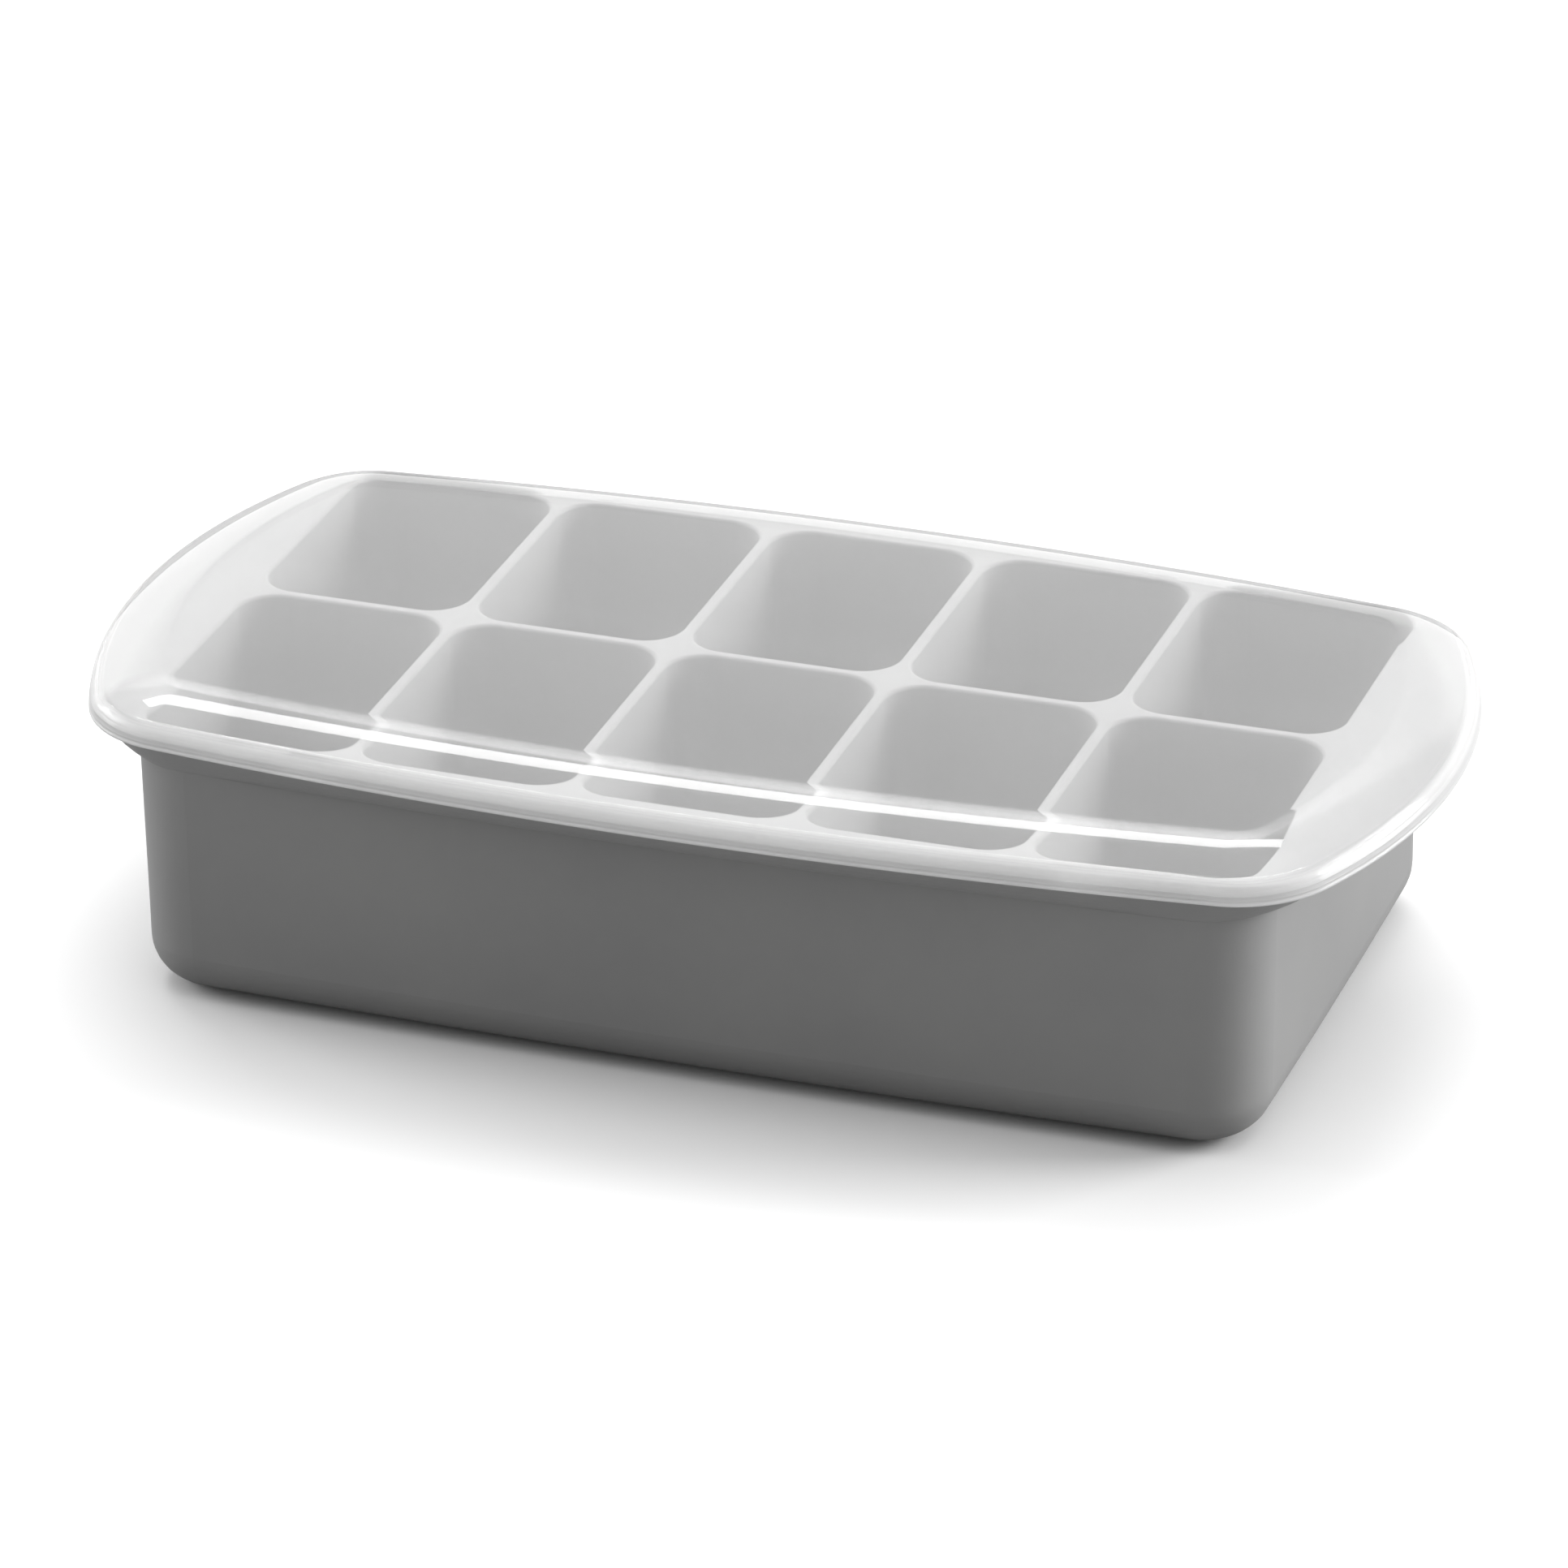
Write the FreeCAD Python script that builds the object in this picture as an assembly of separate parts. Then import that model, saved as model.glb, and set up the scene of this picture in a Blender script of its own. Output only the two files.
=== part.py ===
import os
import math
import FreeCAD
import Part

# Baby food freezer tray: a one-piece silicone tray of ten pockets with a
# clear press-on plastic lid. The part stands on z = 0, centred on x and y,
# its long side along x. All sizes are in millimetres.

# Pocket grid
POCKET_COLUMNS = 5
POCKET_ROWS = 2
POCKET_PITCH = 37.5
DIVIDER_TOP = 2.0
POCKET_LENGTH = 48.5
POCKET_CORNER = 6.5
POCKET_FOOT_CORNER = 5.9
POCKET_DRAFT = 2.8
POCKET_FLOOR_FILLET = 5.0
POCKET_LIP_ROUND = 0.6
FLOOR_THICKNESS = 3.0

# Tray body
TRAY_HEIGHT = 48.6
END_WALL = 2.75
SIDE_WALL = 3.9
BODY_HALF_LENGTH = (POCKET_COLUMNS * POCKET_PITCH - DIVIDER_TOP) / 2 + END_WALL
BODY_HALF_WIDTH = (POCKET_ROWS * (POCKET_LENGTH + DIVIDER_TOP) - DIVIDER_TOP) / 2 + SIDE_WALL
BODY_END_BOW = 0.4
BODY_SIDE_BOW = 1.6
BODY_CORNER = 12.0
BODY_DRAFT = 0.5
BODY_BOTTOM_FILLET = 8.0

# Tray rim and its wide end grips, which swell below the edge towards the wall
RIM_THICKNESS = 2.2
RIM_EDGE_ROUND = 2.0
END_GRIP_REACH = 16.4
SIDE_RIM_REACH = 4.0
RIM_BELLY_DEPTH = 4.7
RIM_BELLY_STEPS = 8
RIM_BELLY_REACH = 0.94

# Lid, whose outline runs round the rim at a small gap
LID_WALL = 1.2
LID_SIDE_GAP = 0.3
RIM_INSET = LID_WALL + LID_SIDE_GAP
LID_HALF_LENGTH = BODY_HALF_LENGTH + END_GRIP_REACH + RIM_INSET
LID_HALF_WIDTH = BODY_HALF_WIDTH + SIDE_RIM_REACH + RIM_INSET
LID_END_BOW = 18.6
LID_SIDE_BOW = 8.2
LID_CORNER = 18.8
SKIRT_BELOW_RIM = 0.6
SKIRT_DROP = RIM_THICKNESS + SKIRT_BELOW_RIM
SKIRT_STEP = 0.35
SKIRT_BEAD_HEIGHT = 1.0
SKIRT_RIDGE_HEIGHT = 2.2
SKIRT_TOP_RISE = 1.0
SHOULDER_RUN = 6.65
SHOULDER_RISE = 3.1
SHOULDER_ROUND = 26.0
LEDGE_ROUND = 1.5


class BowedOutline:
    """A rounded rectangle whose four sides bow outwards as arcs."""

    def __init__(self, half_length, half_width, end_bow, side_bow, corner):
        self.half_length = half_length
        self.half_width = half_width
        self.side_radius = (half_length ** 2 + side_bow ** 2) / (2 * side_bow)
        self.end_radius = (half_width ** 2 + end_bow ** 2) / (2 * end_bow)
        self.corner = corner
        self.side_centre = FreeCAD.Vector(0, half_width - self.side_radius, 0)
        self.end_centre = FreeCAD.Vector(half_length - self.end_radius, 0, 0)
        self.corner_centre = self.find_corner_centre()

    def find_corner_centre(self):
        reach_side = self.side_radius - self.corner
        reach_end = self.end_radius - self.corner
        line = self.end_centre - self.side_centre
        span = line.Length
        along = (reach_side ** 2 - reach_end ** 2 + span ** 2) / (2 * span)
        across = math.sqrt(reach_side ** 2 - along ** 2)
        unit = line / span
        outward = FreeCAD.Vector(-unit.y, unit.x, 0)
        if outward.x < 0:
            outward = outward * -1
        return self.side_centre + unit * along + outward * across

    def wire(self, inset, z):
        """The outline moved inwards by inset, as eight arcs at height z."""
        lift = FreeCAD.Vector(0, 0, z)
        side = self.side_radius - inset
        end = self.end_radius - inset
        corner = self.corner - inset
        from_side = (self.corner_centre - self.side_centre).normalize()
        from_end = (self.corner_centre - self.end_centre).normalize()
        top = self.side_centre + FreeCAD.Vector(0, side, 0)
        right = self.end_centre + FreeCAD.Vector(end, 0, 0)
        on_side = self.side_centre + from_side * side
        on_end = self.end_centre + from_end * end
        mid = self.corner_centre + (from_side + from_end).normalize() * corner
        edges = []
        for sx, sy in ((1, 1), (-1, 1), (-1, -1), (1, -1)):
            turn = sx * sy > 0
            points = [self.mirrored(p, sx, sy) + lift for p in (on_end, mid, on_side)]
            points = points if turn else points[::-1]
            edges.append(Part.Arc(*points).toShape())
        side_left = self.mirrored(on_side, -1, 1)
        end_low = self.mirrored(on_end, 1, -1)
        edges.insert(1, Part.Arc(on_side + lift, top + lift, side_left + lift).toShape())
        left = self.mirrored(right, -1, 1)
        left_high = self.mirrored(on_end, -1, 1)
        left_low = self.mirrored(on_end, -1, -1)
        edges.insert(3, Part.Arc(left_high + lift, left + lift, left_low + lift).toShape())
        low = self.mirrored(top, 1, -1)
        side_low_left = self.mirrored(on_side, -1, -1)
        side_low_right = self.mirrored(on_side, 1, -1)
        low_arc = Part.Arc(side_low_left + lift, low + lift, side_low_right + lift)
        edges.insert(5, low_arc.toShape())
        edges.append(Part.Arc(end_low + lift, right + lift, on_end + lift).toShape())
        return Part.Wire(edges)

    @staticmethod
    def mirrored(point, sx, sy):
        return FreeCAD.Vector(point.x * sx, point.y * sy, 0)

    def slab(self, inset, z0, z1):
        face = Part.Face(self.wire(inset, z0))
        return face.extrude(FreeCAD.Vector(0, 0, z1 - z0))


def lid_outline():
    """Outermost outline of the lid, seen from above."""
    return BowedOutline(LID_HALF_LENGTH, LID_HALF_WIDTH, LID_END_BOW,
                        LID_SIDE_BOW, LID_CORNER)


def edges_at_height(solid, z):
    """Edges of the solid that lie wholly in the plane at height z."""
    found = []
    for edge in solid.Edges:
        box = edge.BoundBox
        if abs(box.ZMin - z) < 0.01 and abs(box.ZMax - z) < 0.01:
            found.append(edge)
    return found


def rounded_rectangle(half_x, half_y, radius, z):
    """Closed wire of a rectangle with rounded corners, centred on x and y."""
    edges = []
    corners = ((1, 1, 0), (-1, 1, 90), (-1, -1, 180), (1, -1, 270))
    ends = []
    for sx, sy, start in corners:
        centre = FreeCAD.Vector(sx * (half_x - radius), sy * (half_y - radius), z)
        points = []
        for angle in (start, start + 45, start + 90):
            a = math.radians(angle)
            points.append(centre + FreeCAD.Vector(math.cos(a), math.sin(a), 0) * radius)
        ends.append((points[0], points[2]))
        edges.append(Part.Arc(*points).toShape())
    for i in range(4):
        edges.append(Part.makeLine(ends[i][1], ends[(i + 1) % 4][0]))
    return Part.Wire(Part.__sortEdges__(edges))


def pocket_space():
    """The space of one pocket, tapering to a rounded floor."""
    depth = TRAY_HEIGHT - FLOOR_THICKNESS
    taper = depth * math.tan(math.radians(POCKET_DRAFT))
    half_x = (POCKET_PITCH - DIVIDER_TOP) / 2
    half_y = POCKET_LENGTH / 2
    foot = rounded_rectangle(half_x - taper, half_y - taper, POCKET_FOOT_CORNER, FLOOR_THICKNESS)
    mouth = rounded_rectangle(half_x, half_y, POCKET_CORNER, TRAY_HEIGHT)
    space = Part.makeLoft([foot, mouth], True, True)
    return space.makeFillet(POCKET_FLOOR_FILLET, edges_at_height(space, FLOOR_THICKNESS))


def pocket_places():
    """Centres of the pockets, row by row from the front left."""
    places = []
    step_y = POCKET_LENGTH + DIVIDER_TOP
    for row in range(POCKET_ROWS):
        for column in range(POCKET_COLUMNS):
            x = (column - (POCKET_COLUMNS - 1) / 2) * POCKET_PITCH
            y = (row - (POCKET_ROWS - 1) / 2) * step_y
            places.append(FreeCAD.Vector(x, y, 0))
    return places


def tray_body():
    """Outer wall with a rounded foot, and the rounded belly under the rim."""
    under = TRAY_HEIGHT - RIM_THICKNESS
    body = (BODY_HALF_LENGTH, BODY_HALF_WIDTH, BODY_END_BOW, BODY_SIDE_BOW, BODY_CORNER)
    rim = (LID_HALF_LENGTH - RIM_INSET, LID_HALF_WIDTH - RIM_INSET, LID_END_BOW,
           LID_SIDE_BOW, LID_CORNER - RIM_INSET)
    grow = under * math.tan(math.radians(BODY_DRAFT))
    wires = [BowedOutline(*body).wire(grow, 0)]
    for i in range(RIM_BELLY_STEPS + 1):
        angle = math.pi / 2 * i / RIM_BELLY_STEPS
        reach = RIM_BELLY_REACH * math.sin(angle)
        sizes = [low + (high - low) * reach for low, high in zip(body, rim)]
        z = under - RIM_BELLY_DEPTH * math.cos(angle)
        wires.append(BowedOutline(*sizes).wire(0, z))
    wires.append(BowedOutline(*sizes).wire(0, under + RIM_THICKNESS / 2))
    solid = Part.makeLoft(wires, True, True)
    return solid.makeFillet(BODY_BOTTOM_FILLET, edges_at_height(solid, 0))


def rim_plate():
    """Flat rim around the pockets, widening to a grip at each end."""
    plate = lid_outline().slab(RIM_INSET, TRAY_HEIGHT - RIM_THICKNESS, TRAY_HEIGHT)
    return plate.makeFillet(RIM_EDGE_ROUND, edges_at_height(plate, TRAY_HEIGHT))


def make_tray():
    """One-piece silicone tray: body, rim and ten pockets."""
    tray = rim_plate().fuse(tray_body())
    space = pocket_space()
    cutters = []
    for place in pocket_places():
        cutter = space.copy()
        cutter.translate(place)
        cutters.append(cutter)
    tray = tray.cut(cutters).removeSplitter()
    lips = []
    for edge in edges_at_height(tray, TRAY_HEIGHT):
        box = edge.BoundBox
        reach_x = POCKET_COLUMNS * POCKET_PITCH / 2
        reach_y = POCKET_ROWS * (POCKET_LENGTH + DIVIDER_TOP) / 2
        if max(-box.XMin, box.XMax) < reach_x and max(-box.YMin, box.YMax) < reach_y:
            lips.append(edge)
    return tray.makeFillet(POCKET_LIP_ROUND, lips)


def lid_shell(side, lower):
    """Upright sides, a sloping shoulder and a flat top, all rounded together.

    side is how far the upright sides stand inside the lid's outline, and lower
    is how far the top and shoulder sit below the lid's outer surface.
    """
    foot = TRAY_HEIGHT - SKIRT_DROP
    bend = TRAY_HEIGHT + SKIRT_TOP_RISE - lower
    top = bend + SHOULDER_RISE
    slope = SHOULDER_RISE / SHOULDER_RUN
    bend += (side - SKIRT_STEP) * slope
    outline = lid_outline()
    wires = [outline.wire(side, foot), outline.wire(side, bend),
             outline.wire(SKIRT_STEP + SHOULDER_RUN, top)]
    shell = Part.makeLoft(wires, True, True)
    return shell.makeFillet(SHOULDER_ROUND - lower, edges_at_height(shell, top))


def make_lid():
    """Clear press-on lid: flat panel, wide soft shoulder and stepped skirt."""
    foot = TRAY_HEIGHT - SKIRT_DROP
    bend = TRAY_HEIGHT + SKIRT_TOP_RISE
    outer = lid_shell(SKIRT_STEP, 0)
    outer = outer.makeFillet(LEDGE_ROUND, edges_at_height(outer, bend))
    outline = lid_outline()
    ridge = outline.slab(SKIRT_STEP / 2, foot, foot + SKIRT_RIDGE_HEIGHT)
    bead = outline.slab(0, foot, foot + SKIRT_BEAD_HEIGHT)
    slope = math.atan2(SHOULDER_RISE, SHOULDER_RUN)
    inner = lid_shell(LID_WALL, LID_WALL / math.cos(slope))
    return outer.fuse([ridge, bead]).cut(inner).removeSplitter()


if __name__ == "__main__":
    os.makedirs("parts", exist_ok=True)
    for name, shape in (("tray", make_tray()), ("lid", make_lid())):
        print(name, shape.isValid(), len(shape.Solids), round(shape.Volume), shape.BoundBox)
        shape.exportStep("parts/" + name + ".step")
    print("pocket ml", pocket_space().Volume / 1000)
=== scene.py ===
import math
import bpy
from mathutils import Matrix, Vector


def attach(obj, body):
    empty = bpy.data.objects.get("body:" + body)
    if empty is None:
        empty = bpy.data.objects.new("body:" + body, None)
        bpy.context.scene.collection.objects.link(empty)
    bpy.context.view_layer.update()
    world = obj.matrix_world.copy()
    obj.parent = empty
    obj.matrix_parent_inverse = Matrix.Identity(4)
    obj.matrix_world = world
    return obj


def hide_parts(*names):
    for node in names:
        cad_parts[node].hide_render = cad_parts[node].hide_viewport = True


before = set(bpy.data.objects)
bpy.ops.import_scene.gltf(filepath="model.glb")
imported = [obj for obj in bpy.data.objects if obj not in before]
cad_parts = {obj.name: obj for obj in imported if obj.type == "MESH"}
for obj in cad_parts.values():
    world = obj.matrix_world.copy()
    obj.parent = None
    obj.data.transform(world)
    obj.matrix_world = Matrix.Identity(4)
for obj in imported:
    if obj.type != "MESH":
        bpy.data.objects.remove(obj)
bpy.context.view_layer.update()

# The tray is one silicone moulding: ten deep pockets, thin dividers and a rim
# that widens to a grip at each end. It comes out of the mould matt and grey,
# with a faint mottling and a very fine texture on every face.
TRAY_TOP = 0.0486
TRAY_GREY = 0.34
MOTTLE_SCALE = 28.0
GRAIN_SCALE = 2600.0
GRAIN_DEPTH = 0.0002

silicone = bpy.data.materials.new("tray_silicone")
silicone.use_nodes = True
nodes, links = silicone.node_tree.nodes, silicone.node_tree.links
skin = nodes["Principled BSDF"]
skin.inputs["Specular IOR Level"].default_value = 0.42
skin.inputs["Sheen Weight"].default_value = 0.12
skin.inputs["Sheen Roughness"].default_value = 0.45
skin.inputs["Sheen Tint"].default_value = (0.9, 0.9, 0.9, 1.0)

place = nodes.new("ShaderNodeTexCoord")
cloud = nodes.new("ShaderNodeTexNoise")
cloud.inputs["Scale"].default_value = MOTTLE_SCALE
cloud.inputs["Detail"].default_value = 5.0
cloud.inputs["Roughness"].default_value = 0.55
links.new(place.outputs["Object"], cloud.inputs["Vector"])
shade = nodes.new("ShaderNodeValToRGB")
shade.color_ramp.elements[0].position = 0.32
shade.color_ramp.elements[0].color = (TRAY_GREY * 0.95, TRAY_GREY * 0.95, TRAY_GREY * 0.955, 1)
shade.color_ramp.elements[1].position = 0.68
shade.color_ramp.elements[1].color = (TRAY_GREY * 1.04, TRAY_GREY * 1.04, TRAY_GREY * 1.035, 1)
links.new(cloud.outputs["Fac"], shade.inputs["Fac"])
links.new(shade.outputs["Color"], skin.inputs["Base Color"])

bloom = nodes.new("ShaderNodeMapRange")
bloom.inputs["To Min"].default_value = 0.46
bloom.inputs["To Max"].default_value = 0.58
links.new(cloud.outputs["Fac"], bloom.inputs["Value"])
links.new(bloom.outputs["Result"], skin.inputs["Roughness"])

grain = nodes.new("ShaderNodeTexNoise")
grain.inputs["Scale"].default_value = GRAIN_SCALE
grain.inputs["Detail"].default_value = 3.0
links.new(place.outputs["Object"], grain.inputs["Vector"])
relief = nodes.new("ShaderNodeBump")
relief.inputs["Strength"].default_value = 0.06
relief.inputs["Distance"].default_value = GRAIN_DEPTH
links.new(grain.outputs["Fac"], relief.inputs["Height"])
links.new(relief.outputs["Normal"], skin.inputs["Normal"])

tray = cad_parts["tray"]
tray.data.materials.clear()
tray.data.materials.append(silicone)

# The lid is one clear plastic moulding, a little frosted. Its flat panel bends
# down in a wide soft shoulder, thickest near the panel, to a milky skirt that
# grips the tray's rim; the skirt has two fine ridges and ends in a rolled bead. The milky skirt
# also carries a painted glow, because it is shaded as if it faced upward.
LID_HALF_LENGTH = 0.1134
LID_HALF_WIDTH = 0.0589
LID_END_BOW = 0.0186
LID_SIDE_BOW = 0.0082
LID_CORNER = 0.0188
PANEL_RISE = 0.0041
PANEL_THICKNESS = 0.0020
CREASE_INSET = 0.0129
CREASE_TILT = math.radians(4.0)
SHOULDER_TILT = math.radians(33.0)
SHOULDER_BEND = 0.02443
INNER_BEND = 0.0370
INNER_FOOT = 0.0026
SHOULDER_STEPS = 21
INNER_STEPS = 16

side_radius = (LID_HALF_LENGTH ** 2 + LID_SIDE_BOW ** 2) / (2 * LID_SIDE_BOW)
end_radius = (LID_HALF_WIDTH ** 2 + LID_END_BOW ** 2) / (2 * LID_END_BOW)
side_centre = Vector((0, LID_HALF_WIDTH - side_radius))
end_centre = Vector((LID_HALF_LENGTH - end_radius, 0))


def corner_middle():
    """Centre of the corner arc that meets the end arc and the side arc smoothly."""
    reach_side = side_radius - LID_CORNER
    reach_end = end_radius - LID_CORNER
    span = (end_centre - side_centre).length
    unit = (end_centre - side_centre) / span
    along = (reach_side ** 2 - reach_end ** 2 + span ** 2) / (2 * span)
    across = math.sqrt(reach_side ** 2 - along ** 2)
    outward = Vector((-unit.y, unit.x))
    if outward.x < 0:
        outward = -outward
    return side_centre + unit * along + outward * across


def quarter_rays():
    """Centre, radius and direction of each point on a quarter of the outline."""
    corner = corner_middle()
    to_end = (corner - end_centre).normalized()
    to_side = (corner - side_centre).normalized()
    end_angle = math.atan2(to_end.y, to_end.x)
    side_angle = math.atan2(to_side.y, to_side.x)
    rays = []
    for centre, radius, start, stop, steps in (
        (end_centre, end_radius, 0, end_angle, 26),
        (corner, LID_CORNER, end_angle, side_angle, 28),
        (side_centre, side_radius, side_angle, math.pi / 2, 34),
    ):
        for i in range(steps):
            a = start + (stop - start) * i / steps
            rays.append((centre, radius, Vector((math.cos(a), math.sin(a)))))
    rays.append((side_centre, side_radius, Vector((0, 1))))
    return rays


lid_rays = quarter_rays()


def lid_ring(inset, z):
    """Points right round the lid at this inset from its outline and this height."""
    quarter = [c + d * (r - inset) for c, r, d in lid_rays]
    left = [Vector((-p.x, p.y)) for p in reversed(quarter[:-1])]
    back_half = quarter + left
    front_half = [Vector((p.x, -p.y)) for p in reversed(back_half[1:-1])]
    return [(p.x, p.y, z) for p in back_half + front_half]


def lid_profile():
    """Section of the lid as (inset, height above the tray), outside then inside."""
    section = [(0.00080, -0.00280), (0.00050, -0.00280), (0.00026, -0.00279), (0.00008, -0.00271),
               (0.00003, -0.00258), (0.00005, -0.00244), (0.00012, -0.00232), (0.00042, -0.00202),
               (0.00040, -0.00198), (0.00026, -0.00194), (0.00020, -0.00186), (0.00022, -0.00176),
               (0.00056, -0.00130), (0.00055, -0.00126), (0.00043, -0.00120), (0.00038, -0.00112),
               (0.00040, -0.00102), (0.00078, -0.00056), (0.00084, -0.00044), (0.00090, -0.00028),
               (0.00102, -0.00008), (0.00117, 0.00010)]
    for i in range(SHOULDER_STEPS + 1):
        tilt = SHOULDER_TILT + (CREASE_TILT - SHOULDER_TILT) * i / SHOULDER_STEPS
        section.append((CREASE_INSET - SHOULDER_BEND * (math.sin(tilt) - math.sin(CREASE_TILT)),
                        PANEL_RISE - SHOULDER_BEND * (math.cos(CREASE_TILT) - math.cos(tilt))))
    section += [(CREASE_INSET + 0.0003, PANEL_RISE), (CREASE_INSET + 0.0010, PANEL_RISE)]
    outer_count = len(section)
    under = PANEL_RISE - PANEL_THICKNESS
    section += [(CREASE_INSET + 0.0012, under), (CREASE_INSET + 0.0004, under)]
    foot_tilt = math.asin((CREASE_INSET - INNER_FOOT) / INNER_BEND)
    for i in range(INNER_STEPS + 1):
        tilt = foot_tilt * i / INNER_STEPS
        section.append((CREASE_INSET - INNER_BEND * math.sin(tilt),
                        under - INNER_BEND * (1 - math.cos(tilt))))
    section += [(0.00215, 0.00018), (0.00170, -0.00012), (0.00143, -0.0005), (0.00138, -0.0009),
                (0.00138, -0.0018), (0.00136, -0.0025), (0.00122, -0.0027)]
    return section, outer_count


section, outer_count = lid_profile()
verts = []
for inset, height in section:
    verts += lid_ring(inset, TRAY_TOP + height)
around = len(lid_ring(0, 0))
faces = []
for k in range(len(section)):
    if k == outer_count - 1:
        continue
    a, b = k * around, (k + 1) % len(section) * around
    for i in range(around):
        j = (i + 1) % around
        faces.append((a + i, a + j, b + j, b + i))
panel_top = (outer_count - 1) * around
faces.append([panel_top + i for i in range(around)])
panel_under = outer_count * around
faces.append([panel_under + i for i in reversed(range(around))])
lid_mesh = bpy.data.meshes.new("lid_shell")
lid_mesh.from_pydata(verts, [], faces)
lid_mesh.validate()
lid_mesh.polygons.foreach_set("use_smooth", [True] * len(lid_mesh.polygons))
lid = bpy.data.objects.new("lid_clear", lid_mesh)
bpy.context.collection.objects.link(lid)

LID_MILK = 0.14
SKIRT_MILK = 0.70
MILK_STARTS = 0.0008
MILK_FULL = -0.0006
LID_GLOSS = 0.045
PLASTIC_WHITE = (0.93, 0.93, 0.93, 1)

frosted = bpy.data.materials.new("lid_plastic")
frosted.use_nodes = True
nodes, links = frosted.node_tree.nodes, frosted.node_tree.links
nodes.remove(nodes["Principled BSDF"])
place = nodes.new("ShaderNodeTexCoord")
mist = nodes.new("ShaderNodeTexNoise")
mist.inputs["Scale"].default_value = 35.0
mist.inputs["Detail"].default_value = 4.0
links.new(place.outputs["Object"], mist.inputs["Vector"])
height = nodes.new("ShaderNodeSeparateXYZ")
links.new(place.outputs["Object"], height.inputs["Vector"])
thick = nodes.new("ShaderNodeMapRange")
thick.inputs["From Min"].default_value = TRAY_TOP + MILK_STARTS
thick.inputs["From Max"].default_value = TRAY_TOP + MILK_FULL
thick.inputs["To Min"].default_value = LID_MILK
thick.inputs["To Max"].default_value = SKIRT_MILK
links.new(height.outputs["Z"], thick.inputs["Value"])
uneven = nodes.new("ShaderNodeMapRange")
uneven.inputs["To Min"].default_value = 0.97
uneven.inputs["To Max"].default_value = 1.03
links.new(mist.outputs["Fac"], uneven.inputs["Value"])
milk = nodes.new("ShaderNodeMath")
milk.operation = "MULTIPLY"
links.new(thick.outputs["Result"], milk.inputs[0])
links.new(uneven.outputs["Result"], milk.inputs[1])

glass = nodes.new("ShaderNodeBsdfGlass")
glass.inputs["IOR"].default_value = 1.52
polish = nodes.new("ShaderNodeMapRange")
polish.inputs["To Min"].default_value = LID_GLOSS * 0.8
polish.inputs["To Max"].default_value = LID_GLOSS * 1.3
links.new(mist.outputs["Fac"], polish.inputs["Value"])
links.new(polish.outputs["Result"], glass.inputs["Roughness"])
open_way = nodes.new("ShaderNodeBsdfTransparent")
path = nodes.new("ShaderNodeLightPath")
unseen = nodes.new("ShaderNodeMath")
unseen.operation = "MAXIMUM"
links.new(path.outputs["Is Shadow Ray"], unseen.inputs[0])
links.new(path.outputs["Is Diffuse Ray"], unseen.inputs[1])
through = nodes.new("ShaderNodeMixShader")
links.new(unseen.outputs["Value"], through.inputs["Fac"])
links.new(glass.outputs["BSDF"], through.inputs[1])
links.new(open_way.outputs["BSDF"], through.inputs[2])
scatter = nodes.new("ShaderNodeBsdfDiffuse")
scatter.inputs["Color"].default_value = PLASTIC_WHITE
# Painted light: the milky part is shaded with its normal tipped upward, so the skirt glows as if
# lit from above; this glow stands in for light carried inside the plastic.
faces_out = nodes.new("ShaderNodeNewGeometry")
painted_glow_lift = nodes.new("ShaderNodeVectorMath")
painted_glow_lift.operation = "MULTIPLY_ADD"
painted_glow_lift.inputs[1].default_value = (0.5, 0.5, 0.5)
painted_glow_lift.inputs[2].default_value = (0, 0, 0.8)
links.new(faces_out.outputs["Normal"], painted_glow_lift.inputs[0])
painted_glow_normal = nodes.new("ShaderNodeVectorMath")
painted_glow_normal.operation = "NORMALIZE"
links.new(painted_glow_lift.outputs["Vector"], painted_glow_normal.inputs[0])
links.new(painted_glow_normal.outputs["Vector"], scatter.inputs["Normal"])
pass_on = nodes.new("ShaderNodeBsdfTranslucent")
pass_on.inputs["Color"].default_value = PLASTIC_WHITE
cloudy = nodes.new("ShaderNodeMixShader")
cloudy.inputs["Fac"].default_value = 0.45
links.new(scatter.outputs["BSDF"], cloudy.inputs[1])
links.new(pass_on.outputs["BSDF"], cloudy.inputs[2])
body_mix = nodes.new("ShaderNodeMixShader")
lit_through = nodes.new("ShaderNodeMapRange")
lit_through.inputs["To Min"].default_value = 1.0
lit_through.inputs["To Max"].default_value = 0.0
links.new(path.outputs["Is Shadow Ray"], lit_through.inputs["Value"])
haze = nodes.new("ShaderNodeMath")
haze.operation = "MULTIPLY"
links.new(milk.outputs["Value"], haze.inputs[0])
links.new(lit_through.outputs["Result"], haze.inputs[1])
links.new(haze.outputs["Value"], body_mix.inputs["Fac"])
links.new(through.outputs["Shader"], body_mix.inputs[1])
links.new(cloudy.outputs["Shader"], body_mix.inputs[2])
links.new(body_mix.outputs["Shader"], nodes["Material Output"].inputs["Surface"])
lid_mesh.materials.append(frosted)
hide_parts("lid")
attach(lid, "lid_body")

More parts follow.
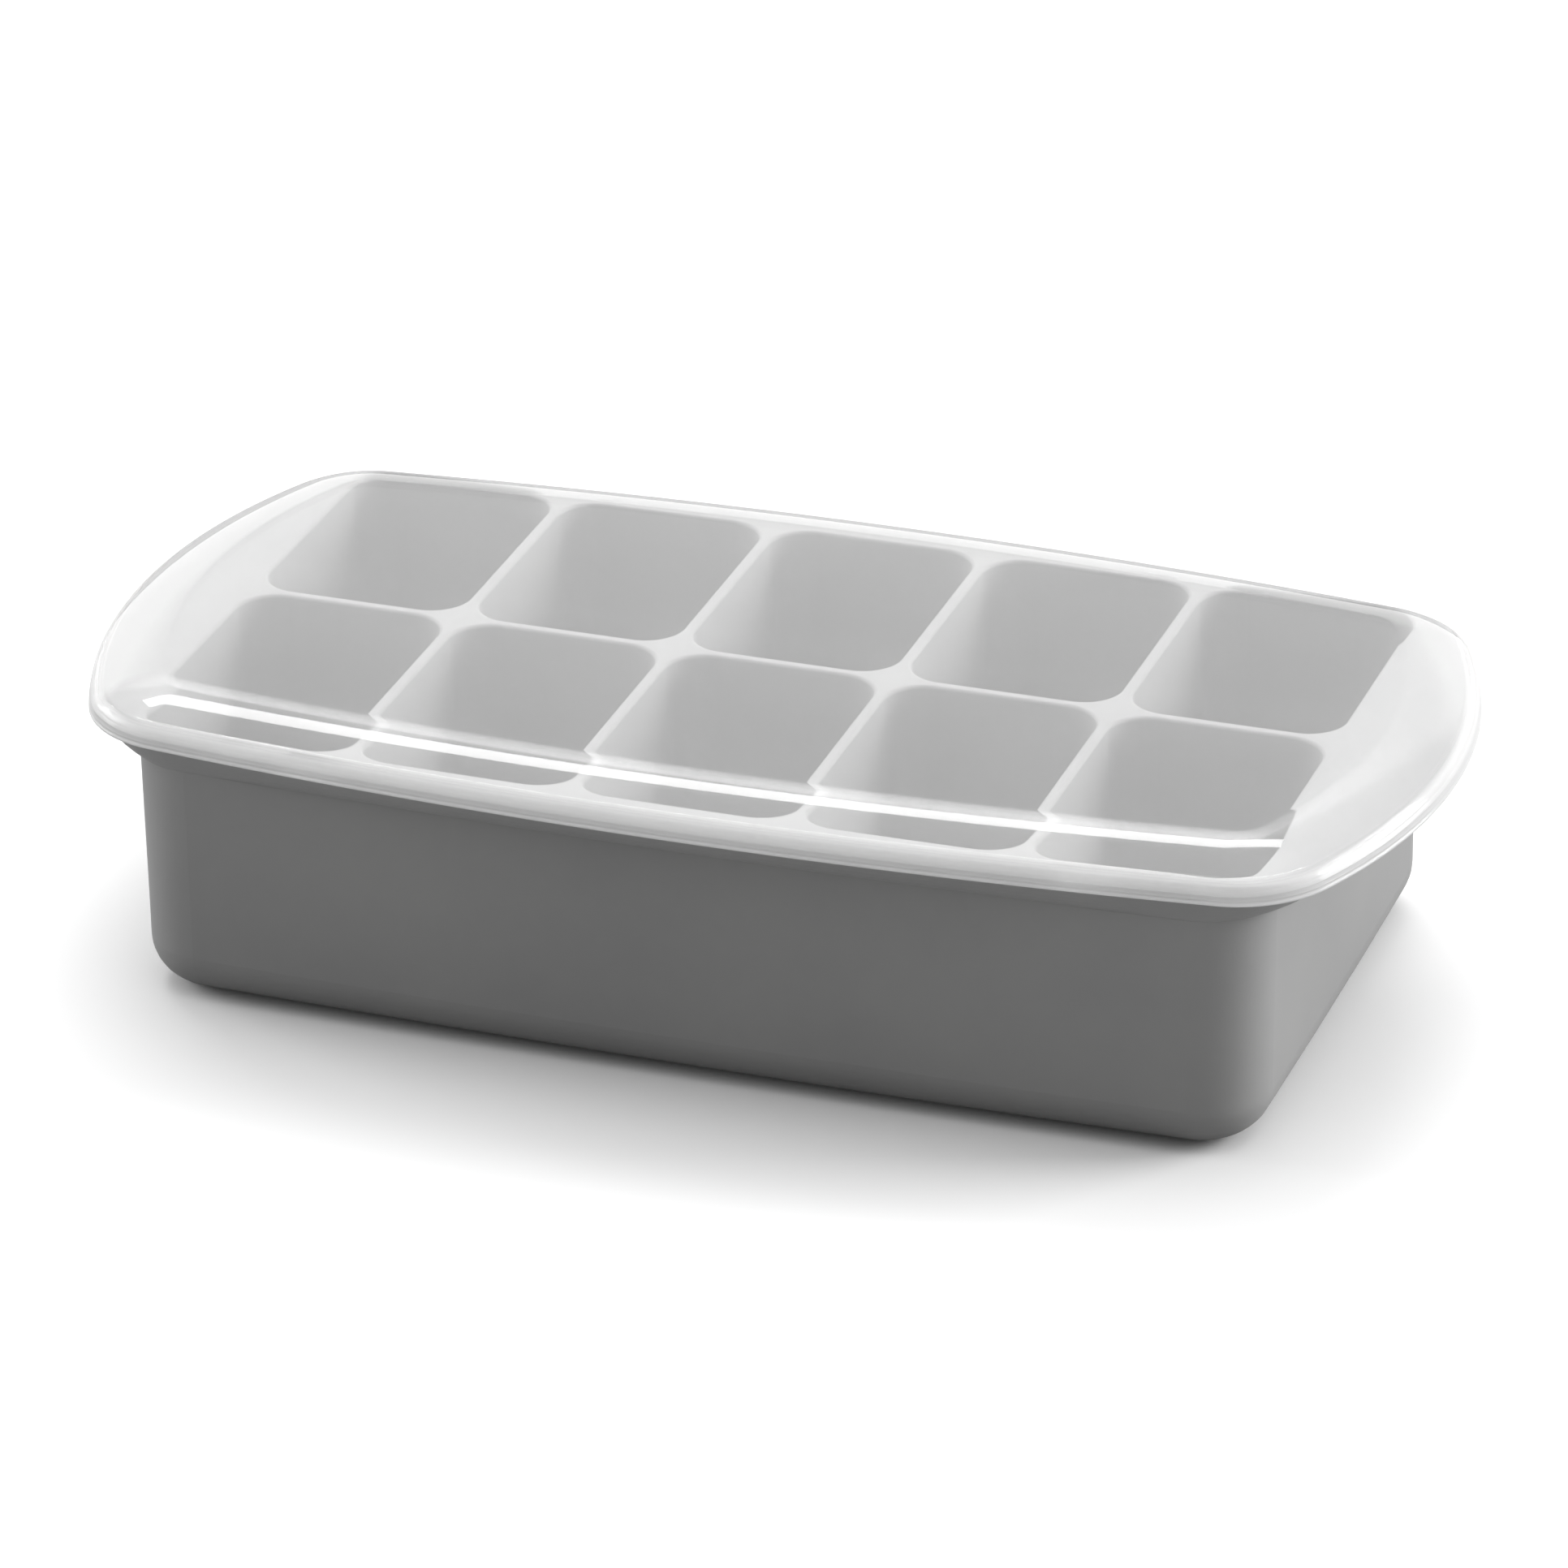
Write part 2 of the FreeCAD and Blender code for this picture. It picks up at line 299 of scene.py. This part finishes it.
# A white table under plain studio light: a bright ceiling, a low pale backdrop, a
# long lamp high behind and a large soft lamp at each side. The camera stands
# where the photo was taken from.
bpy.ops.mesh.primitive_plane_add(size=6.0, location=(0, 0, -0.0002))
table = bpy.context.object
table.name = "studio_floor"
paper = bpy.data.materials.new("white_paper")
paper.use_nodes = True
nodes, links = paper.node_tree.nodes, paper.node_tree.links
sheet = nodes["Principled BSDF"]
sheet.inputs["Base Color"].default_value = (0.97, 0.97, 0.97, 1)
sheet.inputs["Roughness"].default_value = 0.9
sheet.inputs["Specular IOR Level"].default_value = 0.0
dull = nodes.new("ShaderNodeBsdfDiffuse")
dull.inputs["Color"].default_value = (0.36, 0.36, 0.36, 1)
path = nodes.new("ShaderNodeLightPath")
seen = nodes.new("ShaderNodeMixShader")
links.new(path.outputs["Is Camera Ray"], seen.inputs["Fac"])
links.new(dull.outputs["BSDF"], seen.inputs[1])
links.new(sheet.outputs["BSDF"], seen.inputs[2])
links.new(seen.outputs["Shader"], nodes["Material Output"].inputs["Surface"])
table.data.materials.append(paper)

HORIZON_LIGHT = 0.26
ZENITH_LIGHT = 2.4
BACKDROP_LIGHT = 1.4
DOME_LEAN = math.radians(8.0)
world = bpy.data.worlds.new("studio")
bpy.context.scene.world = world
world.use_nodes = True
nodes, links = world.node_tree.nodes, world.node_tree.links
air = nodes["Background"]
air.inputs["Color"].default_value = (1, 1, 1, 1)
sky = nodes.new("ShaderNodeTexCoord")
lean = nodes.new("ShaderNodeVectorMath")
lean.operation = "DOT_PRODUCT"
lean.inputs[1].default_value = (0, math.sin(DOME_LEAN), math.cos(DOME_LEAN))
links.new(sky.outputs["Generated"], lean.inputs[0])
above = nodes.new("ShaderNodeMath")
above.operation = "MAXIMUM"
above.inputs[1].default_value = 0.0
links.new(lean.outputs["Value"], above.inputs[0])
high = nodes.new("ShaderNodeMath")
high.operation = "POWER"
high.inputs[1].default_value = 6.0
links.new(above.outputs["Value"], high.inputs[0])
dome = nodes.new("ShaderNodeMapRange")
dome.inputs["To Min"].default_value = HORIZON_LIGHT
dome.inputs["To Max"].default_value = ZENITH_LIGHT
links.new(high.outputs["Value"], dome.inputs["Value"])
compass = nodes.new("ShaderNodeSeparateXYZ")
links.new(sky.outputs["Generated"], compass.inputs["Vector"])
low_down = nodes.new("ShaderNodeMapRange")
low_down.interpolation_type = "SMOOTHSTEP"
low_down.inputs["From Min"].default_value = 0.50
low_down.inputs["From Max"].default_value = 0.28
low_down.inputs["To Max"].default_value = BACKDROP_LIGHT
links.new(compass.outputs["Z"], low_down.inputs["Value"])
back_left = nodes.new("ShaderNodeVectorMath")
back_left.operation = "DOT_PRODUCT"
back_left.inputs[1].default_value = (-0.45, 0.89, 0)
links.new(sky.outputs["Generated"], back_left.inputs[0])
behind = nodes.new("ShaderNodeMapRange")
behind.interpolation_type = "SMOOTHSTEP"
behind.inputs["From Min"].default_value = 0.50
behind.inputs["From Max"].default_value = 0.85
links.new(back_left.outputs["Value"], behind.inputs["Value"])
backdrop = nodes.new("ShaderNodeMath")
backdrop.operation = "MULTIPLY_ADD"
links.new(low_down.outputs["Result"], backdrop.inputs[0])
links.new(behind.outputs["Result"], backdrop.inputs[1])
links.new(dome.outputs["Result"], backdrop.inputs[2])
links.new(backdrop.outputs["Value"], air.inputs["Strength"])
white = nodes.new("ShaderNodeBackground")
white.inputs["Color"].default_value = (1, 1, 1, 1)
white.inputs["Strength"].default_value = 1.0
path = nodes.new("ShaderNodeLightPath")
pick = nodes.new("ShaderNodeMixShader")
links.new(path.outputs["Is Camera Ray"], pick.inputs["Fac"])
links.new(air.outputs["Background"], pick.inputs[1])
links.new(white.outputs["Background"], pick.inputs[2])
links.new(pick.outputs["Shader"], nodes["World Output"].inputs["Surface"])


def softbox(name, where, aim, width, tall, brightness):
    """A plain square studio lamp at where, facing aim, as bright as stated."""
    lamp = bpy.data.lights.new(name, "AREA")
    lamp.shape = "RECTANGLE"
    lamp.size = width
    lamp.size_y = tall
    lamp.energy = brightness * math.pi * width * tall
    stand = bpy.data.objects.new(name, lamp)
    bpy.context.collection.objects.link(stand)
    stand.location = where
    stand.rotation_euler = (Vector(where) - Vector(aim)).to_track_quat("Z", "Y").to_euler()
    return stand


softbox("softbox_behind", (-0.48, 0.97, 1.55), (0, 0, 0.05), 1.5, 0.28, 9.5)
softbox("softbox_right", (1.45, 0.85, 0.55), (0, 0, 0.05), 1.0, 0.8, 11.0)
softbox("softbox_left", (-1.60, 0.10, 0.60), (0, 0, 0.05), 1.0, 0.8, 4.5)

camera = bpy.data.cameras.new("photo_camera")
camera.sensor_width = 36.0
camera.lens = 191.58
eye = bpy.data.objects.new("photo_camera", camera)
bpy.context.collection.objects.link(eye)
right = Vector((0.943418, 0.331393, -0.011856))
up = Vector((-0.136911, 0.421825, 0.896281))
back = Vector((0.302022, -0.843944, 0.443329))
turn = Matrix((right, up, back)).transposed().to_4x4()
eye.matrix_world = Matrix.Translation((0.41117, -1.14926, 0.63162)) @ turn
camera.clip_end = 20
bpy.context.scene.camera = eye
bpy.context.scene.view_settings.view_transform = "Standard"
